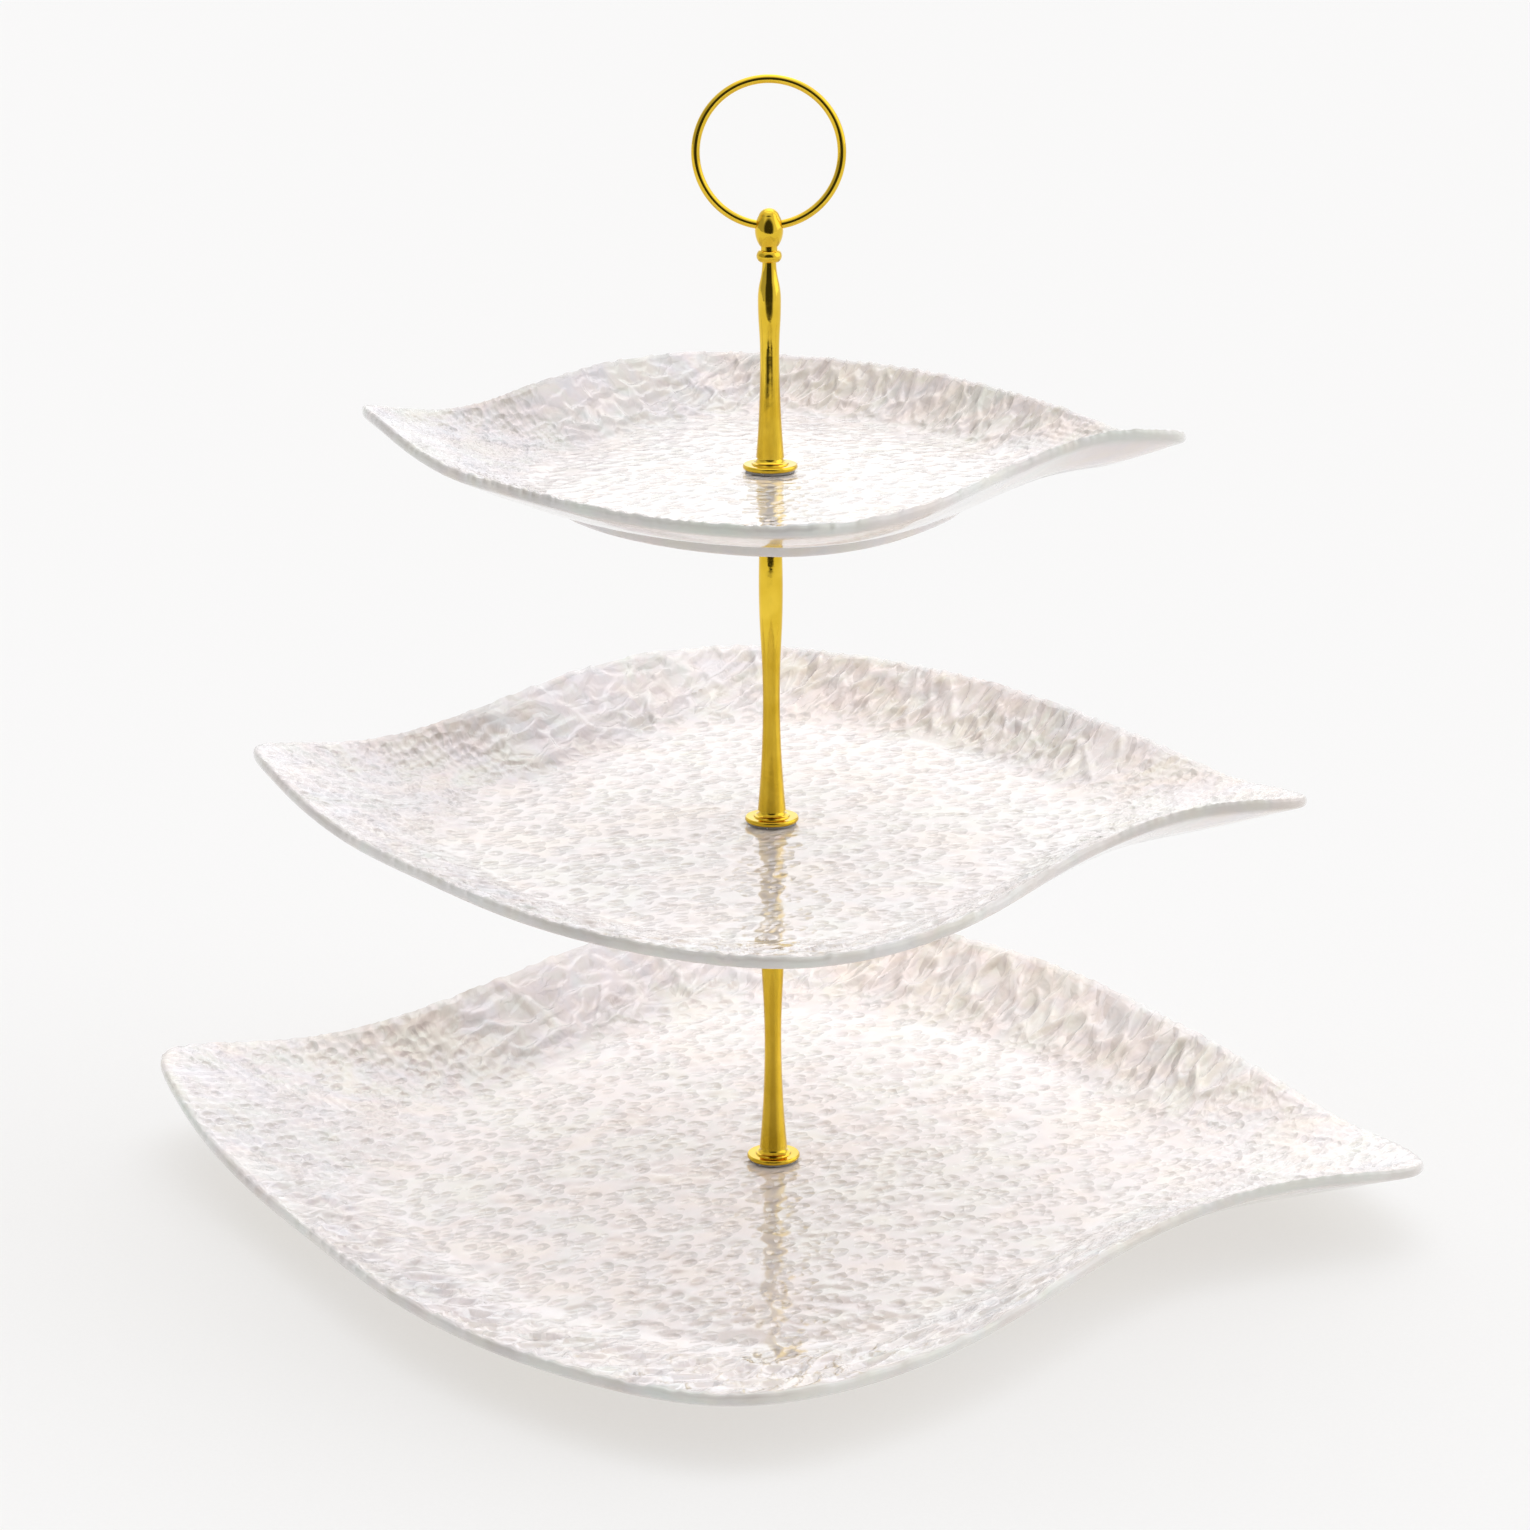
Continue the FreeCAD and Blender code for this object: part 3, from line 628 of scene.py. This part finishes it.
# ---------------------------------------------------------------- clear washers
# Soft clear plastic rings, punched from sheet, keep the metal off the glaze above and below
# each plate.
clear, skin, add, join = new_finish("clear_plastic")
place = add("ShaderNodeTexCoord").outputs["Object"]
haze = noise(add, join, place, 300, detail=3)
cloudiness = ramp(add, join, haze.outputs["Fac"],
                  (0.3, (0.86, 0.87, 0.87)), (0.7, (0.95, 0.95, 0.94)))
join(cloudiness.outputs["Color"], skin.inputs["Base Color"])
skin.inputs["Transmission Weight"].default_value = 0.6
skin.inputs["IOR"].default_value = 1.46
blur = span(add, join, haze.outputs["Fac"], 0.3, 0.7, 0.12, 0.3)
join(blur.outputs["Result"], skin.inputs["Roughness"])
put_on(clear, "bottom_upper_washer", "bottom_lower_washer", "middle_upper_washer",
       "middle_lower_washer", "top_upper_washer", "top_lower_washer")


# ---------------------------------------------------------------- pole and handle
# Turned brass rods, cup-washer discs, collar, knob and ring, polished and plated bright gold.
# The plating keeps faint waves and pits of the casting, and is a little duller in places.
gold, skin, add, join = new_finish("bright_gold")
place = add("ShaderNodeTexCoord").outputs["Object"]
patches = noise(add, join, place, 90, detail=3, distortion=0.4)
plating = ramp(add, join, patches.outputs["Fac"],
               (0.3, (0.71, 0.465, 0.028)), (0.7, (0.86, 0.595, 0.058)))
join(plating.outputs["Color"], skin.inputs["Base Color"])
skin.inputs["Metallic"].default_value = 1.0
wear = noise(add, join, place, 380, detail=4)
polish = span(add, join, wear.outputs["Fac"], 0.35, 0.7, 0.05, 0.15)
join(polish.outputs["Result"], skin.inputs["Roughness"])
casting = noise(add, join, place, 330, detail=4)
raise_bump(add, join, skin, casting.outputs["Fac"], 0.18, 0.00012)
put_on(gold, "lower_rod", "upper_rod", "handle_rod", "bottom_disc", "middle_disc", "top_disc",
       "collar", "knob", "ring_handle")


# ---------------------------------------------------------------- floor and light
# A wide pale table, lit a little from below, under a white sky. Soft boxes stand overhead, behind
# and at the right, and the room is dark beyond the table's front, which the metal mirrors.
TABLE_FRONT = 0.95         # the table ends this far in front of the stand's middle
TABLE_SIDE = 60
SKY_STRENGTH = 0.86
SEEN_STRENGTH = 0.94       # the sky as the camera sees it
bpy.ops.object.select_all(action="DESELECT")
bpy.ops.mesh.primitive_grid_add(x_subdivisions=8, y_subdivisions=8, size=TABLE_SIDE,
                                location=(0, TABLE_SIDE / 2 - TABLE_FRONT, -0.0002))
table_top = bpy.context.object
table_top.name = "table_top"
paper, skin, add, join = new_finish("pale_table")
place = add("ShaderNodeTexCoord").outputs["Object"]
fibre = noise(add, join, place, 900, detail=3)
shade = ramp(add, join, fibre.outputs["Fac"],
             (0.3, (0.372, 0.385, 0.412)), (0.7, (0.384, 0.397, 0.424)))
join(shade.outputs["Color"], skin.inputs["Base Color"])
skin.inputs["Roughness"].default_value = 0.85
skin.inputs["Specular IOR Level"].default_value = 0.0
skin.inputs["Emission Color"].default_value = (1.0, 0.965, 0.905, 1)
skin.inputs["Emission Strength"].default_value = 0.52
table_top.data.materials.append(paper)

sky = bpy.data.worlds.new("studio")
bpy.context.scene.world = sky
sky.use_nodes = True
nodes, links = sky.node_tree.nodes, sky.node_tree.links
background = nodes["Background"]
direction = nodes.new("ShaderNodeTexCoord").outputs["Generated"]


def sky_patch(middle, start, end, inside):
    """A soft patch in the sky: its share of light is 1 outside and inside at its middle."""
    toward = nodes.new("ShaderNodeVectorMath")
    toward.operation = "DOT_PRODUCT"
    toward.inputs[1].default_value = Vector(middle).normalized()
    links.new(direction, toward.inputs[0])
    patch = nodes.new("ShaderNodeMapRange")
    patch.interpolation_type = "SMOOTHSTEP"
    patch.inputs["From Min"].default_value = start
    patch.inputs["From Max"].default_value = end
    patch.inputs["To Min"].default_value = 1.0
    patch.inputs["To Max"].default_value = inside
    links.new(toward.outputs["Value"], patch.inputs["Value"])
    return patch.outputs["Result"]


# the dark room in front, soft boxes overhead, behind and at the right, and a shaded left
light = None
for patch in (sky_patch((-0.06, -1.0, 0.08), 0.66, 0.87, 0.05),
              sky_patch((0.05, 0.25, 0.95), 0.76, 0.90, 1.8),
              sky_patch((0.10, 0.88, 0.46), 0.86, 0.95, 1.65),
              sky_patch((0.95, 0.05, 0.40), 0.80, 0.93, 1.9),
              sky_patch((-1.0, -0.25, 0.15), 0.70, 0.95, 0.55)):
    if light is None:
        light = patch
        continue
    both = nodes.new("ShaderNodeMath")
    both.operation = "MULTIPLY"
    links.new(light, both.inputs[0])
    links.new(patch, both.inputs[1])
    light = both.outputs["Value"]
strength = nodes.new("ShaderNodeMath")
strength.operation = "MULTIPLY"
strength.inputs[1].default_value = SKY_STRENGTH
links.new(light, strength.inputs[0])
# seen directly, the room beyond the table is as pale as the table
seen = nodes.new("ShaderNodeMix")
links.new(nodes.new("ShaderNodeLightPath").outputs["Is Camera Ray"], seen.inputs["Factor"])
links.new(strength.outputs["Value"], seen.inputs[2])
seen.inputs[3].default_value = SEEN_STRENGTH
links.new(seen.outputs[0], background.inputs["Strength"])
background.inputs["Color"].default_value = (1.0, 0.995, 0.99, 1)

lamp_data = bpy.data.lights.new("overhead", "SUN")
lamp_data.energy = 0.12
lamp_data.angle = math.radians(40)
lamp = bpy.data.objects.new("overhead", lamp_data)
lamp.rotation_euler = (math.radians(-20), math.radians(10), 0)
bpy.context.scene.collection.objects.link(lamp)
bpy.context.scene.view_settings.view_transform = "Standard"
